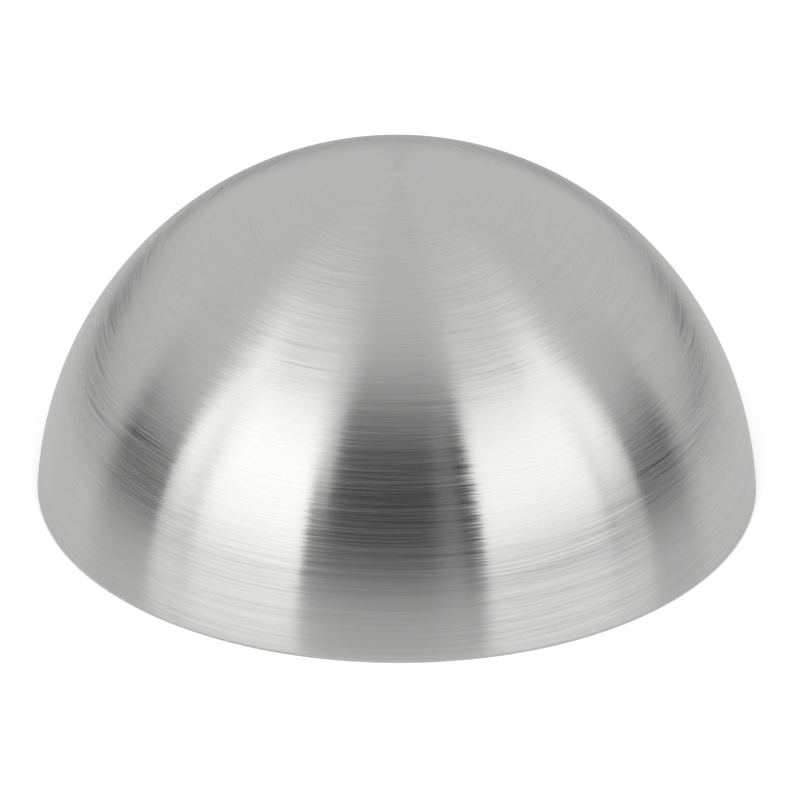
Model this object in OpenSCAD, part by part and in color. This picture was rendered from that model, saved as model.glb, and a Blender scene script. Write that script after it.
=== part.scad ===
// Hollow half-ball cap for the open end of a round tube.
// One pressed sheet-steel shell, open below. Its cut rim is butted on the tube's own rim.
// Origin: centre of the rim's face. +Z runs up the axis to the crown. Millimetres.

/* [Rim] */
// Outside diameter at the rim, the same as the tube's
cap_od = 101.6; // [60:0.1:170]
// Thickness of the sheet
wall = 2.0; // [1:0.1:4]
// Width of the 45 degree break on the rim's two edges
edge_break = 0.3; // [0.1:0.05:0.45]

/* [Dome] */
// How far the wall leans in from upright at the rim, in degrees
rim_lean = 3; // [1:0.5:6]
// Radius of the side's arc, as a multiple of the rim's outside radius
side_ratio = 1.047; // [1.02:0.001:1.08]
// Where the side's arc runs into the crown's arc, in degrees above the rim's plane
crown_from = 50; // [35:1:65]

/* [Hidden] */
$fn = 180;
rim_r = cap_od / 2;
side_r = rim_r * side_ratio;
side_x = rim_r - side_r * cos(rim_lean);
side_z = -side_r * sin(rim_lean);
// The crown's centre is on the cap's axis and on the line from the side's centre through the join.
crown_r = side_r + side_x / cos(crown_from);
crown_z = side_z + (side_r - crown_r) * sin(crown_from);
cap_h = crown_z + crown_r;
inner_rim_r = side_x + sqrt(pow(side_r - wall, 2) - pow(side_z, 2));
reach = 2 * side_r;

echo(height = cap_h, crown_radius = crown_r, side_radius = side_r, inner_rim_radius = inner_rim_r);

// Everything on the crown's side of the line through both centres and the join.
module above_join() {
    translate([side_x, side_z])
        rotate(crown_from)
            translate([-reach, 0])
                square([2 * reach, reach]);
}

// A strip of sheet whose outer face is an arc.
module arc_strip(x, z, r) {
    translate([x, z])
        difference() {
            circle(r);
            circle(r - wall);
        }
}

// The edge break, as a square on its corner, centred on an edge of the rim.
module edge_cut(x) {
    translate([x, 0])
        rotate(45)
            square(edge_break * sqrt(2), center = true);
}

// Half of the shell's section, on the +X side of the axis.
module section() {
    difference() {
        intersection() {
            union() {
                intersection() {
                    arc_strip(0, crown_z, crown_r);
                    above_join();
                }
                difference() {
                    arc_strip(side_x, side_z, side_r);
                    above_join();
                }
            }
            square([reach, reach]);
        }
        edge_cut(rim_r);
        edge_cut(inner_rim_r);
    }
}

module dome_shell() {
    color("silver")
        rotate_extrude()
            section();
}

dome_shell();
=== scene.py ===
"""A hollow half-ball pipe cap of satin-brushed stainless sheet, and the studio that it stands in."""

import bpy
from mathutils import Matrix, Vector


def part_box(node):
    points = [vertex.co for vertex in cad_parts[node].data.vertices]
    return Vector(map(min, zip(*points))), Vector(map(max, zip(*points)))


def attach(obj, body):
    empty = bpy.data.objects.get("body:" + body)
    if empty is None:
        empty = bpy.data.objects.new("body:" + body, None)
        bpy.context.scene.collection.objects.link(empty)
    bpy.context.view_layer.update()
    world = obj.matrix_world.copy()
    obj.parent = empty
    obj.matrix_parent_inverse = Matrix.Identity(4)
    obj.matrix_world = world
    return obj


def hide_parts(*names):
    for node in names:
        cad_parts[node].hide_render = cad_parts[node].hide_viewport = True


bl_info = {
    "name": "Half-ball pipe cap",
    "version": (1, 0, 0),
    "blender": (4, 5, 0),
    "location": "View3D > Sidebar > Pipe cap",
    "description": "Makes a brushed half-ball cap for a round tube, and a plain studio to look at it in",
    "category": "Add Mesh",
}

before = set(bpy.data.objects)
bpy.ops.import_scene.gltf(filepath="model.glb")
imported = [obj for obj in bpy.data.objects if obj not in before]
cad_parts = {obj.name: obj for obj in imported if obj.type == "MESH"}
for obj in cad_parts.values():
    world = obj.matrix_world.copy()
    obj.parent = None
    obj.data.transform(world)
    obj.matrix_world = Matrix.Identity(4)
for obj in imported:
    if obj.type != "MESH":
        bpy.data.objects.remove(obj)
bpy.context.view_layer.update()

from math import cos, pi, radians, sin, tan

import bpy
from bpy.props import FloatProperty, FloatVectorProperty, IntProperty, PointerProperty
from mathutils import Matrix, Vector

SHELL_NODE = "dome_shell"
TURNED_UV = "turned"
SHELL_LOW, SHELL_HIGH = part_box(SHELL_NODE)
RIM_RADIUS = (SHELL_HIGH[0] - SHELL_LOW[0]) / 2
WELD_GAP = 5e-7
QUARTER_TURN = 0.25


# ---------------------------------------------------------------------------------------------
# Sizes and finishes that a user would change
# ---------------------------------------------------------------------------------------------


class CapSizes(bpy.types.PropertyGroup):
    """Sizes of the shell."""

    rim_radius: FloatProperty(
        name="Rim radius",
        description="Outside radius at the rim, the same as the tube's",
        default=RIM_RADIUS,
        unit="LENGTH",
    )
    sheet: FloatProperty(
        name="Sheet thickness",
        description="Thickness of the steel sheet",
        default=0.002,
        unit="LENGTH",
    )
    rim_lean: FloatProperty(
        name="Rim lean",
        description="How far the wall leans in from upright at the rim",
        default=radians(3),
        subtype="ANGLE",
    )
    side_ratio: FloatProperty(
        name="Side arc ratio",
        description="Radius of the side's arc, as a multiple of the rim radius",
        default=1.047,
    )
    crown_from: FloatProperty(
        name="Crown from",
        description="Where the side's arc runs into the crown's arc, above the rim's plane",
        default=radians(50),
        subtype="ANGLE",
    )
    edge_radius: FloatProperty(
        name="Edge radius",
        description="Rounding of the rim's two edges, left by deburring",
        default=0.0003,
        unit="LENGTH",
    )
    mark_radius: FloatProperty(
        name="Centre mark radius",
        description="Radius of the shallow mark that the lathe's centre leaves on the crown",
        default=0.0005,
        unit="LENGTH",
    )
    mark_depth: FloatProperty(
        name="Centre mark depth",
        description="Depth of the mark on the crown",
        default=0.00003,
        unit="LENGTH",
    )
    segments: IntProperty(
        name="Segments",
        description="Faces round the cap",
        default=256,
    )


class CapFinish(bpy.types.PropertyGroup):
    """Look of the steel."""

    steel: FloatVectorProperty(
        name="Steel colour",
        description="Colour of clean stainless steel",
        default=(0.63, 0.63, 0.625),
        subtype="COLOR",
    )
    satin: FloatProperty(
        name="Satin roughness",
        description="Roughness of the brushed outside",
        default=0.22,
    )
    grain_pitch: FloatProperty(
        name="Grain pitch",
        description="Spacing of the finest brushing lines",
        default=0.00009,
        unit="LENGTH",
    )
    stroke_pitch: FloatProperty(
        name="Stroke pitch",
        description="Spacing of the strokes that show one by one",
        default=0.00014,
        unit="LENGTH",
    )


class StudioLook(bpy.types.PropertyGroup):
    """Camera and light."""

    camera_distance: FloatProperty(
        name="Camera distance",
        description="From the cap's axis to the camera",
        default=40 * RIM_RADIUS,
        unit="LENGTH",
    )
    camera_height: FloatProperty(
        name="Camera elevation",
        description="How far above level the camera stands",
        default=radians(28.4),
        subtype="ANGLE",
    )
    tent: FloatProperty(
        name="Tent brightness",
        description="Radiance of the white tent's roof and back",
        default=0.91,
    )
    left_box: FloatProperty(
        name="Left softbox",
        description="Radiance of the softbox on the left",
        default=1.63,
    )
    right_box: FloatProperty(
        name="Right softbox",
        description="Radiance of the softbox on the right",
        default=1.58,
    )
    table_lamp: FloatProperty(
        name="Table lamp",
        description="Power of the lamp that lights the table alone, in watts",
        default=0.27,
    )


# ---------------------------------------------------------------------------------------------
# Formulas in node trees
# ---------------------------------------------------------------------------------------------


class Quantity:
    """A number in a node tree. Arithmetic on it adds Math nodes."""

    def __init__(self, tree, socket):
        self.tree = tree
        self.socket = socket

    def __add__(self, other):
        return formula(self.tree, "ADD", self, other)

    def __radd__(self, other):
        return formula(self.tree, "ADD", other, self)

    def __sub__(self, other):
        return formula(self.tree, "SUBTRACT", self, other)

    def __rsub__(self, other):
        return formula(self.tree, "SUBTRACT", other, self)

    def __mul__(self, other):
        return formula(self.tree, "MULTIPLY", self, other)

    def __rmul__(self, other):
        return formula(self.tree, "MULTIPLY", other, self)

    def __truediv__(self, other):
        return formula(self.tree, "DIVIDE", self, other)

    def of(self, operation, *others):
        """The Math node's result for this number, such as x.of("SINE")."""
        return formula(self.tree, operation, self, *others)


NODES_IN_ROW = 12
NODE_SPACING = (180, 220)


def put(tree, kind, **settings):
    """Add a node in the next free place, row by row."""
    row, column = divmod(len(tree.nodes), NODES_IN_ROW)
    node = tree.nodes.new(kind)
    node.location = (NODE_SPACING[0] * column, -NODE_SPACING[1] * row)
    for name, value in settings.items():
        setattr(node, name, value)
    return node


def feed(tree, socket, value):
    """Link a socket or a quantity to an input, or set the input to a plain value."""
    if isinstance(value, Quantity):
        value = value.socket
    if isinstance(value, bpy.types.NodeSocket):
        tree.links.new(value, socket)
    else:
        socket.default_value = value


def formula(tree, operation, *terms):
    """A Math node's result for these numbers and quantities."""
    node = put(tree, "ShaderNodeMath", operation=operation)
    for socket, term in zip(node.inputs, terms):
        feed(tree, socket, term)
    return Quantity(tree, node.outputs[0])


def split(tree, vector):
    """The three numbers of a vector."""
    node = put(tree, "ShaderNodeSeparateXYZ")
    feed(tree, node.inputs[0], vector)
    return [Quantity(tree, output) for output in node.outputs]


def join(tree, x, y, z):
    """A vector's socket, from three numbers or quantities."""
    node = put(tree, "ShaderNodeCombineXYZ")
    for socket, value in zip(node.inputs, (x, y, z)):
        feed(tree, socket, value)
    return node.outputs[0]


def ramp(value, start, end, low=0.0, high=1.0):
    """Run smoothly from low to high while a quantity runs from start to end."""
    node = put(value.tree, "ShaderNodeMapRange", interpolation_type="SMOOTHSTEP")
    for name, setting in (
        ("Value", value),
        ("From Min", start),
        ("From Max", end),
        ("To Min", low),
        ("To Max", high),
    ):
        feed(value.tree, node.inputs[name], setting)
    return Quantity(value.tree, node.outputs["Result"])


# ---------------------------------------------------------------------------------------------
# Finishes
# ---------------------------------------------------------------------------------------------


def principled(name, metallic=1.0):
    """A new material with one shader, and its tree and shader."""
    material = bpy.data.materials.new(name)
    material.use_nodes = True
    tree = material.node_tree
    shader = next(node for node in tree.nodes if node.type == "BSDF_PRINCIPLED")
    shader.inputs["Metallic"].default_value = metallic
    return material, tree, shader


class TurnedPlace:
    """Where a shaded point lies on a turned part: round the axis, and along the section."""

    LEAST_RADIUS = 1e-6

    def __init__(self, tree):
        self.tree = tree
        self.place = put(tree, "ShaderNodeTexCoord").outputs["Object"]
        x, y, self.height = split(tree, self.place)
        self.radius = (x * x + y * y).of("SQRT").of("MAXIMUM", self.LEAST_RADIUS)
        self.cosine = x / self.radius
        self.sine = y / self.radius
        unrolled = put(tree, "ShaderNodeUVMap", uv_map=TURNED_UV)
        _, self.along, _ = split(tree, unrolled.outputs["UV"])

    def noise(self, vector, scale, detail, harshness=0.5):
        """Noise about zero, between -0.5 and 0.5."""
        node = put(self.tree, "ShaderNodeTexNoise", noise_dimensions="3D")
        feed(self.tree, node.inputs["Vector"], vector)
        node.inputs["Scale"].default_value = scale
        node.inputs["Detail"].default_value = detail
        node.inputs["Roughness"].default_value = harshness
        return Quantity(self.tree, node.outputs[0]) - 0.5

    def lines(self, pitch, per_radian, drift=0.0, turn=0.0, seed=0.0, detail=2.0):
        """Noise drawn out round the axis. Drift makes its lines stray from true circles."""
        stray = (self.sine * cos(turn) + self.cosine * sin(turn)) * drift
        across = (self.along + stray) / pitch + seed
        vector = join(self.tree, self.cosine * per_radian, self.sine * per_radian, across)
        return self.noise(vector, 1.0, detail, harshness=0.6)

    def clouds(self, size, seed):
        """Soft blotches of about this size."""
        mapping = put(self.tree, "ShaderNodeMapping")
        feed(self.tree, mapping.inputs["Vector"], self.place)
        mapping.inputs["Location"].default_value = (seed, 0.0, 0.0)
        return self.noise(mapping.outputs[0], 1.0 / size, detail=3.0)


def tilt(tree, shader, sideways, upward):
    """Tilt the surface by slopes round the axis and up the section, as a brushed groove's sides do."""
    normal = put(tree, "ShaderNodeNormalMap", space="TANGENT", uv_map=TURNED_UV)
    slopes = (slope * 0.5 + 0.5 for slope in (sideways, upward))
    feed(tree, normal.inputs["Color"], join(tree, *slopes, 1.0))
    feed(tree, shader.inputs["Normal"], normal.outputs[0])


def draw_out(tree, shader, anisotropy):
    """Spread the gloss up and down the section and keep it tight round the axis."""
    tangent = put(tree, "ShaderNodeTangent", direction_type="UV_MAP", uv_map=TURNED_UV)
    feed(tree, shader.inputs["Tangent"], tangent.outputs[0])
    shader.inputs["Anisotropic"].default_value = anisotropy
    shader.inputs["Anisotropic Rotation"].default_value = QUARTER_TURN


def tinted(tree, shader, colour, shade):
    """Base colour of the steel times a shade that varies over it."""
    node = put(tree, "ShaderNodeVectorMath", operation="SCALE")
    node.inputs[0].default_value = colour
    feed(tree, node.inputs["Scale"], shade)
    feed(tree, shader.inputs["Base Color"], node.outputs[0])


def satin_outside(finish):
    """Stainless brushed round the axis while it turned, with strokes that cross at small angles."""
    material, tree, shader = principled("satin_stainless")
    place = TurnedPlace(tree)
    fine = finish.grain_pitch
    pitch = finish.stroke_pitch
    grain = place.lines(fine, per_radian=3.0, seed=11.0, detail=1.0)
    strokes = place.lines(pitch, per_radian=1.3, drift=0.0008, turn=0.6, seed=40.0, detail=1.0)
    crossing = place.lines(pitch * 1.5, per_radian=1.6, drift=-0.004, turn=0.25, seed=90.0, detail=1.0)
    broad = place.lines(pitch * 5, per_radian=1.2, drift=0.001, turn=4.0, seed=150.0)
    flecks = place.lines(pitch, per_radian=14.0, drift=0.002, turn=0.2, seed=210.0, detail=1.0)
    patches = place.clouds(0.018, seed=3.0)

    # The grooves, shallower towards the rim.
    depth = ramp(place.height, 0.004, 0.018, 0.35, 1.0)
    upward = grain * 0.03 + strokes * 0.02 + crossing * 0.015 + broad * 0.012
    tilt(tree, shader, strokes * 0.025 + flecks * 0.03, upward * depth)

    # The gloss, a little duller at the rim. Crossing strokes show most at the two flanks.
    crossed = crossing * (place.cosine.of("ABSOLUTE") * 0.2 + 0.07)
    spread = strokes * 0.14 + crossed + flecks * 0.04 + broad * 0.06 + patches * 0.03
    worn = ramp(place.height, 0.002, 0.014, 0.03, 0.0)
    feed(tree, shader.inputs["Roughness"], spread * depth + worn + finish.satin)

    # The shade, fainter towards the pole and stronger at the rim, and a painted highlight on the centre
    # mark.
    lines = strokes * 0.18 + crossing * 0.27 + flecks * 0.10 + broad * 0.14 + grain * 0.04
    strength = ramp(place.radius, 0.004, 0.036, 0.5, 1.0)
    strength = strength + ramp(place.height, 0.003, 0.012, 0.2, 0.0)
    # Painted highlight: the steel's colour is made lighter within the centre mark, standing in for the
    # light that its dish would catch.
    mark = ramp(place.radius, 0.0003, 0.0007, 0.07, 0.0)
    tinted(tree, shader, finish.steel, lines * strength + mark + 1.0)
    draw_out(tree, shader, anisotropy=1.0)
    return material


def formed_inside(finish):
    """The sheet as it came off the former: duller, with faint rings and blotches."""
    material, tree, shader = principled("formed_inside")
    place = TurnedPlace(tree)
    rings = place.lines(0.0016, per_radian=1.2, seed=5.0)
    drag = place.lines(0.0003, per_radian=4.0, seed=70.0)
    patches = place.clouds(0.011, seed=8.0)
    tilt(tree, shader, 0.0, rings * 0.10 + drag * 0.12)
    feed(tree, shader.inputs["Roughness"], drag * 0.08 + patches * 0.12 + 0.36)
    tinted(tree, shader, [0.88 * part for part in finish.steel], patches * 0.14 + drag * 0.06 + 1.0)
    draw_out(tree, shader, anisotropy=0.55)
    return material


def faced_rim(finish):
    """The rim, faced off on the lathe and rubbed down."""
    material, tree, shader = principled("faced_rim")
    place = TurnedPlace(tree)
    feed_lines = place.lines(0.00009, per_radian=9.0, seed=21.0)
    nicks = place.clouds(0.0012, seed=14.0)
    tilt(tree, shader, 0.0, feed_lines * 0.25)
    feed(tree, shader.inputs["Roughness"], feed_lines * 0.10 + nicks * 0.10 + 0.27)
    tinted(tree, shader, finish.steel, nicks * 0.12 + 1.0)
    draw_out(tree, shader, anisotropy=0.8)
    return material


# ---------------------------------------------------------------------------------------------
# The shell: its section, turned round the axis
# ---------------------------------------------------------------------------------------------


def new_geometry_tree(name, numbers, counts, finishes=()):
    """A geometry tree with named inputs, and those inputs by name: quantities, and sockets of finishes."""
    tree = bpy.data.node_groups.new(name, "GeometryNodeTree")
    tree.interface.new_socket(name="Geometry", in_out="OUTPUT", socket_type="NodeSocketGeometry")
    for titles, kind in (
        (numbers, "NodeSocketFloat"),
        (counts, "NodeSocketInt"),
        (finishes, "NodeSocketMaterial"),
    ):
        for title in titles:
            tree.interface.new_socket(name=title, in_out="INPUT", socket_type=kind)
    source = put(tree, "NodeGroupInput")
    given = {title: Quantity(tree, source.outputs[title]) for title in numbers + counts}
    given.update((title, source.outputs[title]) for title in finishes)
    return tree, given


def turn_section(tree, given, radius_at, height_at, length):
    """Turn one stretch of the section round the axis, given its radius and height at each share of it."""
    grid = put(tree, "GeometryNodeMeshGrid")
    grid.inputs["Size X"].default_value = 1.0
    grid.inputs["Size Y"].default_value = 1.0
    feed(tree, grid.inputs["Vertices X"], given["Segments"] + 1.0)
    feed(tree, grid.inputs["Vertices Y"], given["Steps"] + 1.0)
    x, y, _ = split(tree, put(tree, "GeometryNodeInputPosition").outputs[0])
    turn = (x + 0.5) * (2 * pi)
    share = y + 0.5
    radius = radius_at(share)
    place = join(tree, radius * turn.of("COSINE"), radius * turn.of("SINE"), height_at(share))
    unroll = put(tree, "GeometryNodeStoreNamedAttribute", data_type="FLOAT2", domain="CORNER")
    feed(tree, unroll.inputs["Geometry"], grid.outputs["Mesh"])
    unroll.inputs["Name"].default_value = TURNED_UV
    around = turn * given["Rim radius"]
    along = share * length + given["Path start"]
    feed(tree, unroll.inputs["Value"], join(tree, around, along, 0.0))
    bend = put(tree, "GeometryNodeSetPosition")
    feed(tree, bend.inputs["Geometry"], unroll.outputs[0])
    feed(tree, bend.inputs["Position"], place)
    sink = put(tree, "NodeGroupOutput")
    feed(tree, sink.inputs["Geometry"], bend.outputs[0])


# Inputs that every stretch of the section has.
STRETCH_NUMBERS = ("Rim radius", "Path start")
STRETCH_COUNTS = ("Steps", "Segments")


def turned_arc():
    """Node group: an arc of the section, turned round the axis."""
    numbers = ("Centre radius", "Centre height", "Arc radius", "From angle", "To angle")
    tree, given = new_geometry_tree("Turned arc", numbers + STRETCH_NUMBERS, STRETCH_COUNTS)
    sweep = given["To angle"] - given["From angle"]

    def angle_at(share):
        return share * sweep + given["From angle"]

    def radius_at(share):
        return angle_at(share).of("COSINE") * given["Arc radius"] + given["Centre radius"]

    def height_at(share):
        return angle_at(share).of("SINE") * given["Arc radius"] + given["Centre height"]

    turn_section(tree, given, radius_at, height_at, sweep.of("ABSOLUTE") * given["Arc radius"])
    return tree


def turned_flat():
    """Node group: a level line of the section, turned round the axis."""
    numbers = ("From radius", "To radius", "Height")
    tree, given = new_geometry_tree("Turned flat", numbers + STRETCH_NUMBERS, STRETCH_COUNTS)
    width = given["To radius"] - given["From radius"]

    def radius_at(share):
        return share * width + given["From radius"]

    def height_at(share):
        return given["Height"]

    turn_section(tree, given, radius_at, height_at, width)
    return tree


class Section:
    """The shell's section, run from the crown's underside down, under the rim and up to the crown."""

    def __init__(self, tree, given):
        self.tree = tree
        self.given = given
        self.path = 0.0
        self.sheets = []
        self.arc_group = turned_arc()
        self.flat_group = turned_flat()

    def place(self, group, steps, sizes, length):
        """Add one stretch, which starts where the last one ended."""
        node = put(self.tree, "GeometryNodeGroup", node_tree=group)
        for name, value in sizes.items():
            feed(self.tree, node.inputs[name], value)
        feed(self.tree, node.inputs["Rim radius"], self.given["Rim radius"])
        feed(self.tree, node.inputs["Segments"], self.given["Segments"])
        feed(self.tree, node.inputs["Path start"], self.path)
        node.inputs["Steps"].default_value = steps
        self.sheets.append(node.outputs[0])
        self.path = length + self.path

    def arc(self, centre, radius, start, end, steps):
        """Add a round stretch. Its angles count up from level, seen with the axis on the left."""
        sizes = {
            "Centre radius": centre[0],
            "Centre height": centre[1],
            "Arc radius": radius,
            "From angle": start,
            "To angle": end,
        }
        self.place(self.arc_group, steps, sizes, radius * (end - start).of("ABSOLUTE"))

    def flat(self, start, end, height, steps):
        """Add a level stretch, from one radius out to another."""
        sizes = {"From radius": start, "To radius": end, "Height": height}
        self.place(self.flat_group, steps, sizes, end - start)


def dome_tree():
    """Geometry tree of the whole shell, from its driving sizes."""
    numbers = (
        "Rim radius",
        "Sheet thickness",
        "Side arc ratio",
        "Rim lean",
        "Crown from",
        "Edge radius",
        "Mark radius",
        "Mark depth",
    )
    finishes = ("Outside finish", "Inside finish", "Rim finish")
    tree, given = new_geometry_tree("Half-ball shell", numbers, ("Segments",), finishes)
    rim = given["Rim radius"]
    sheet = given["Sheet thickness"]
    edge = given["Edge radius"]
    lean = given["Rim lean"]
    upper = given["Crown from"]
    mark = given["Mark radius"]
    depth = given["Mark depth"]

    # The side's arc, and the crown's arc that it runs into without a kink.
    side = rim * given["Side arc ratio"]
    side_x = rim - side * lean.of("COSINE")
    side_z = side * lean.of("SINE") * -1.0
    crown = side + side_x / upper.of("COSINE")
    crown_z = side_z + (side - crown) * upper.of("SINE")

    # Rounded edges, each touching its wall's arc and the rim's flat.
    def edge_place(wall_radius, inwards):
        gap = wall_radius + edge * inwards
        rise = edge - side_z
        return side_x + (gap * gap - rise * rise).of("SQRT"), (rise / gap).of("ARCSINE")

    outer_x, outer_touch = edge_place(side, -1.0)
    inner_x, inner_touch = edge_place(side - sheet, 1.0)

    # The centre mark is a shallow dish, met by the crown at its edge.
    mark_turn = (mark / crown).of("ARCCOSINE")
    dish = (mark * mark + depth * depth) / (depth * 2.0)
    dish_z = crown_z + crown * mark_turn.of("SINE") + (dish * dish - mark * mark).of("SQRT")
    dish_turn = (mark / dish).of("ARCSINE")

    section = Section(tree, given)
    straight_down = 1.5 * pi
    section.arc((0.0, crown_z), crown - sheet, pi / 2, upper, steps=20)
    section.arc((side_x, side_z), side - sheet, upper, inner_touch, steps=24)
    inside_end = section.path
    section.arc((inner_x, edge), edge, inner_touch + pi, straight_down, steps=5)
    section.flat(inner_x, outer_x, 0.0, steps=2)
    section.arc((outer_x, edge), edge, straight_down, outer_touch + 2 * pi, steps=5)
    rim_end = section.path
    section.arc((side_x, side_z), side, outer_touch, upper, steps=44)
    section.arc((0.0, crown_z), crown, upper, mark_turn, steps=36)
    section.arc((0.0, dish_z), dish, dish_turn + straight_down, straight_down, steps=4)

    gather = put(tree, "GeometryNodeJoinGeometry")
    for sheet_of_faces in section.sheets:
        tree.links.new(sheet_of_faces, gather.inputs[0])
    weld = put(tree, "GeometryNodeMergeByDistance")
    feed(tree, weld.inputs["Geometry"], gather.outputs[0])
    weld.inputs["Distance"].default_value = WELD_GAP
    smooth = put(tree, "GeometryNodeSetShadeSmooth")
    feed(tree, smooth.inputs["Geometry"], weld.outputs[0])
    realize = put(tree, "GeometryNodeRealizeInstances")
    feed(tree, realize.inputs[0], smooth.outputs[0])

    # Finishes by place along the path: the outside everywhere, then the rim and the inside over it.
    unrolled = put(tree, "GeometryNodeInputNamedAttribute", data_type="FLOAT_VECTOR")
    unrolled.inputs["Name"].default_value = TURNED_UV
    _, along, _ = split(tree, unrolled.outputs[0])
    shell = realize.outputs[0]
    for title, below in (
        ("Outside finish", None),
        ("Rim finish", rim_end),
        ("Inside finish", inside_end),
    ):
        finish = put(tree, "GeometryNodeSetMaterial")
        feed(tree, finish.inputs["Geometry"], shell)
        if below is not None:
            feed(tree, finish.inputs["Selection"], along.of("LESS_THAN", below))
        feed(tree, finish.inputs["Material"], given[title])
        shell = finish.outputs[0]
    sink = put(tree, "NodeGroupOutput")
    feed(tree, sink.inputs["Geometry"], shell)
    return tree


def baked_piece(name, tree, settings):
    """A plain mesh object from a geometry tree whose inputs are set by name."""
    holder = bpy.data.objects.new(name + "_holder", bpy.data.meshes.new(name + "_holder"))
    bpy.context.scene.collection.objects.link(holder)
    modifier = holder.modifiers.new("Shape", "NODES")
    modifier.node_group = tree
    for item in tree.interface.items_tree:
        if item.in_out == "INPUT":
            modifier[item.identifier] = settings[item.name]
    depsgraph = bpy.context.evaluated_depsgraph_get()
    mesh = bpy.data.meshes.new_from_object(
        holder.evaluated_get(depsgraph), preserve_all_data_layers=True, depsgraph=depsgraph
    )
    holder.modifiers.remove(modifier)
    bpy.data.objects.remove(holder)
    if not mesh.polygons:
        raise RuntimeError(f"{name} came out empty")
    mesh.name = name
    piece = bpy.data.objects.new(name, mesh)
    bpy.context.scene.collection.objects.link(piece)
    return piece


class PIPECAP_OT_shell(bpy.types.Operator):
    """Make the cap's shell, brushed outside, dull inside and faced at the rim"""

    bl_idname = "pipe_cap.shell"
    bl_label = "Half-ball shell"

    def execute(self, context):
        sizes = context.scene.cap_sizes
        finish = context.scene.cap_finish
        settings = {
            "Rim radius": sizes.rim_radius,
            "Sheet thickness": sizes.sheet,
            "Side arc ratio": sizes.side_ratio,
            "Rim lean": sizes.rim_lean,
            "Crown from": sizes.crown_from,
            "Edge radius": sizes.edge_radius,
            "Mark radius": sizes.mark_radius,
            "Mark depth": sizes.mark_depth,
            "Segments": sizes.segments,
            "Outside finish": satin_outside(finish),
            "Inside finish": formed_inside(finish),
            "Rim finish": faced_rim(finish),
        }
        shell = baked_piece("half_ball_shell", dome_tree(), settings)
        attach(shell, "root")
        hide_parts(SHELL_NODE)
        return {"FINISHED"}


# ---------------------------------------------------------------------------------------------
# The studio
# ---------------------------------------------------------------------------------------------

FLOOR_RADIUS = 6.0
FLOOR_DROP = 0.0002
TABLE_RADIUS = 0.30
TABLE_FORWARD = 0.08
DISC_SIDES = 96
SHEEN_ROUGHNESS = 0.25
SOFTBOX_DISTANCE = 1.0
TABLE_LAMP_SIZE = 0.12
TABLE_LAMP_PLACE = (0.0, -0.17, 0.16)
BACKDROP_WHITE = 0.95
SENSOR_WIDTH = 36.0
LENS_LENGTH = 650.0
CLIP_END = 50.0
CAMERA_RISE = 0.45 * RIM_RADIUS
CAMERA_AIM = (0.0004, 0.0, 0.0137)
CAMERA_ROLL = radians(0.25)


def level_disc(name, radius, height):
    """A flat disc facing up."""
    mesh = bpy.data.meshes.new(name)
    turns = [2 * pi * side / DISC_SIDES for side in range(DISC_SIDES)]
    ring = [(radius * cos(turn), radius * sin(turn), height) for turn in turns]
    mesh.from_pydata(ring, [], [list(range(DISC_SIDES))])
    disc = bpy.data.objects.new(name, mesh)
    bpy.context.scene.collection.objects.link(disc)
    return disc


def white_board(name, white, glow, sheen_index=None):
    """White board that glows a little, matt or with a sheen."""
    material, _, shader = principled(name, metallic=0.0)
    shader.inputs["Base Color"].default_value = (white, white, white, 1.0)
    if sheen_index is None:
        shader.inputs["Roughness"].default_value = 1.0
        shader.inputs["Specular IOR Level"].default_value = 0.0
    else:
        shader.inputs["Roughness"].default_value = SHEEN_ROUGHNESS
        shader.inputs["IOR"].default_value = sheen_index
    shader.inputs["Emission Color"].default_value = (1.0, 1.0, 1.0, 1.0)
    shader.inputs["Emission Strength"].default_value = glow
    return material


def make_floor():
    """A wide white floor for the eye, and a small white table in its place for the steel to mirror."""
    floor = level_disc("floor", FLOOR_RADIUS, -FLOOR_DROP)
    floor.data.materials.append(white_board("floor_board", white=0.86, glow=0.3))
    floor.visible_glossy = False
    table = level_disc("table", TABLE_RADIUS, 0.0)
    table.data.materials.append(white_board("table_board", white=0.58, glow=0.12, sheen_index=1.9))
    table.location.y = -TABLE_FORWARD
    table.visible_camera = False
    table.visible_diffuse = False
    table.visible_shadow = False


def area_lamp(name, width, height, power, place, away):
    """A flat lamp that the camera doesn't see, with its back turned to the direction away."""
    light = bpy.data.lights.new(name, "AREA")
    light.shape = "RECTANGLE"
    light.size = width
    light.size_y = height
    light.energy = power
    lamp = bpy.data.objects.new(name, light)
    bpy.context.scene.collection.objects.link(lamp)
    lamp.location = place
    lamp.rotation_euler = away.to_track_quat("Z", "Y").to_euler()
    lamp.visible_camera = False
    return lamp


def softbox(name, left, right, low, high, radiance):
    """An upright softbox between two bearings, counted rightwards from the camera, and two elevations."""
    turn = (left + right) / 2
    bottom = SOFTBOX_DISTANCE * tan(low)
    height = SOFTBOX_DISTANCE * tan(high) - bottom
    width = 2 * SOFTBOX_DISTANCE * tan((right - left) / 2)
    away = Vector((sin(turn), -cos(turn), 0.0))
    place = away * SOFTBOX_DISTANCE + Vector((0.0, 0.0, bottom + height / 2))
    area_lamp(name, width, height, radiance * pi * width * height, place, away)


def make_lights(look):
    """Two upright softboxes in front, with dimmer edges, and a lamp for the table alone."""

    # Each softbox's bearings and elevations in degrees, and its radiance.
    for name, left, right, low, high, radiance in (
        ("left_flank", -80.2, -66, 3, 51, 0.72 * look.left_box),
        ("left_softbox", -66, -29.5, 3, 51, look.left_box),
        ("left_strip", -29.5, -24.5, 27, 51, 0.6 * look.left_box),
        ("right_softbox", 27.6, 70, 6, 50, look.right_box),
        ("right_flank", 70, 84.8, 6, 50, 0.62 * look.right_box),
    ):
        softbox(name, radians(left), radians(right), radians(low), radians(high), radiance)
    place = Vector(TABLE_LAMP_PLACE)
    lamp = area_lamp("table_lamp", TABLE_LAMP_SIZE, TABLE_LAMP_SIZE, look.table_lamp, place, place)
    lamp.visible_glossy = False


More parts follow.
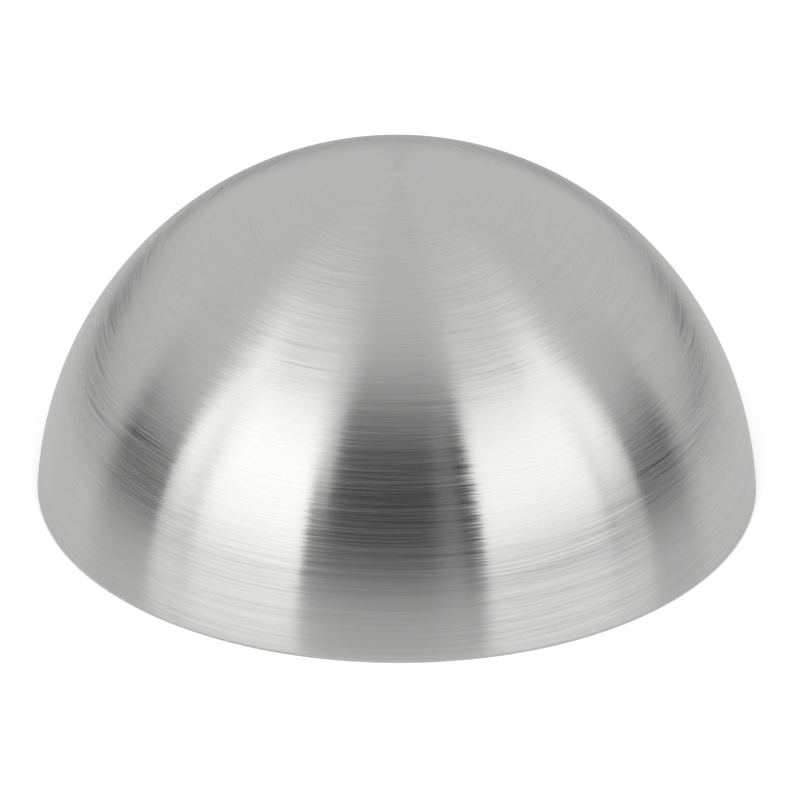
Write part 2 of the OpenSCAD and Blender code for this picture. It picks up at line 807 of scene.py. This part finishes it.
def make_world(look):
    """A white tent, open and dark towards the camera and low at the sides. The eye sees plain white."""
    world = bpy.data.worlds.new("tent")
    bpy.context.scene.world = world
    world.use_nodes = True
    tree = world.node_tree
    tree.nodes.clear()
    x, y, z = split(tree, put(tree, "ShaderNodeTexCoord").outputs["Generated"])

    # Bearings, counted rightwards from the camera, and elevations, all in degrees.
    elevation = z.of("ARCSINE").of("DEGREES")
    turn = formula(tree, "ARCTAN2", x, y * -1.0).of("DEGREES")
    aside = turn.of("ABSOLUTE")

    # White all round but for the doorway in front and a low dark stretch beside it.
    doorway = ramp(aside, 70, 80, 1.0, 0.0) * ramp(elevation, 42, 70, 1.0, 0.0)
    low_front = ramp(elevation, 11, 22, 1.0, 0.0) * ramp(elevation, -3, 4, 0.4, 1.0)
    low_sides = ramp(aside, 101, 115, 0.98, 0.0) * low_front
    white = (1.0 - doorway.of("MAXIMUM", low_sides)) * look.tent

    # In the doorway hangs a dark card, paler on the left and with a stripe on the right.
    stripe = ramp(turn, 9, 19.5, 0.0, 0.2) * ramp(turn, 20, 22.5, 1.0, 0.0)
    card = stripe + ramp(turn, -24, 0, 0.075, 0.042)

    # The softboxes light the roof over them, more on the left, and leave a gap over the card.
    roof = ramp(elevation, 46, 54) * ramp(elevation, 52, 84, 1.0, 0.0)
    beside = ramp((turn - 1.6).of("ABSOLUTE"), 24.5, 28) * ramp(aside, 70, 140, 1.0, 0.0)
    glow = roof * beside * ramp(turn, -20, 20, 0.58, 0.38)

    # Dark below the hem, which hangs lower at the back.
    hem = ramp(aside, 142, 164, 0.5, -5)
    above = ramp(elevation - hem, -1.5, 1.5, 0.1, 1.0)
    lit = (white.of("MAXIMUM", card) + glow) * above
    seen = Quantity(tree, put(tree, "ShaderNodeLightPath").outputs["Is Camera Ray"])
    backdrop = put(tree, "ShaderNodeBackground")
    feed(tree, backdrop.inputs["Strength"], lit * (1.0 - seen) + seen * BACKDROP_WHITE)
    sink = put(tree, "ShaderNodeOutputWorld")
    feed(tree, sink.inputs["Surface"], backdrop.outputs[0])


def make_camera(look):
    """A long lens, looking down at the cap from in front."""
    data = bpy.data.cameras.new("camera")
    data.sensor_width = SENSOR_WIDTH
    data.lens = LENS_LENGTH
    data.clip_end = CLIP_END
    camera = bpy.data.objects.new("camera", data)
    bpy.context.scene.collection.objects.link(camera)
    towards = Vector((0.0, -cos(look.camera_height), sin(look.camera_height)))
    place = towards * look.camera_distance + Vector((0.0, 0.0, CAMERA_RISE))
    gaze = (Vector(CAMERA_AIM) - place).to_track_quat("-Z", "Y").to_matrix().to_4x4()
    camera.matrix_world = Matrix.Translation(place) @ gaze @ Matrix.Rotation(CAMERA_ROLL, 4, "Z")
    bpy.context.scene.camera = camera


class PIPECAP_OT_studio(bpy.types.Operator):
    """Make the floor, the lights, the tent and the camera"""

    bl_idname = "pipe_cap.studio"
    bl_label = "Studio"

    def execute(self, context):
        look = context.scene.cap_studio
        make_floor()
        make_lights(look)
        make_world(look)
        make_camera(look)
        context.scene.view_settings.view_transform = "Standard"
        return {"FINISHED"}


# ---------------------------------------------------------------------------------------------
# The add-on's panel and its registration
# ---------------------------------------------------------------------------------------------


class PIPECAP_PT_panel(bpy.types.Panel):
    """Lists the cap's sizes, finishes and operators"""

    bl_idname = "PIPECAP_PT_panel"
    bl_label = "Pipe cap"
    bl_space_type = "VIEW_3D"
    bl_region_type = "UI"
    bl_category = "Pipe cap"

    def draw(self, context):
        scene = context.scene
        for group, operator in (
            (scene.cap_sizes, None),
            (scene.cap_finish, PIPECAP_OT_shell),
            (scene.cap_studio, PIPECAP_OT_studio),
        ):
            box = self.layout.box()
            for name in group.__annotations__:
                box.prop(group, name)
            if operator is not None:
                box.operator(operator.bl_idname)


CLASSES = (
    CapSizes,
    CapFinish,
    StudioLook,
    PIPECAP_OT_shell,
    PIPECAP_OT_studio,
    PIPECAP_PT_panel,
)


def register():
    for cls in CLASSES:
        bpy.utils.register_class(cls)
    bpy.types.Scene.cap_sizes = PointerProperty(type=CapSizes)
    bpy.types.Scene.cap_finish = PointerProperty(type=CapFinish)
    bpy.types.Scene.cap_studio = PointerProperty(type=StudioLook)


def unregister():
    del bpy.types.Scene.cap_studio
    del bpy.types.Scene.cap_finish
    del bpy.types.Scene.cap_sizes
    for cls in reversed(CLASSES):
        bpy.utils.unregister_class(cls)


def main():
    register()
    bpy.ops.pipe_cap.shell()
    bpy.ops.pipe_cap.studio()


if __name__ == "__main__":
    main()
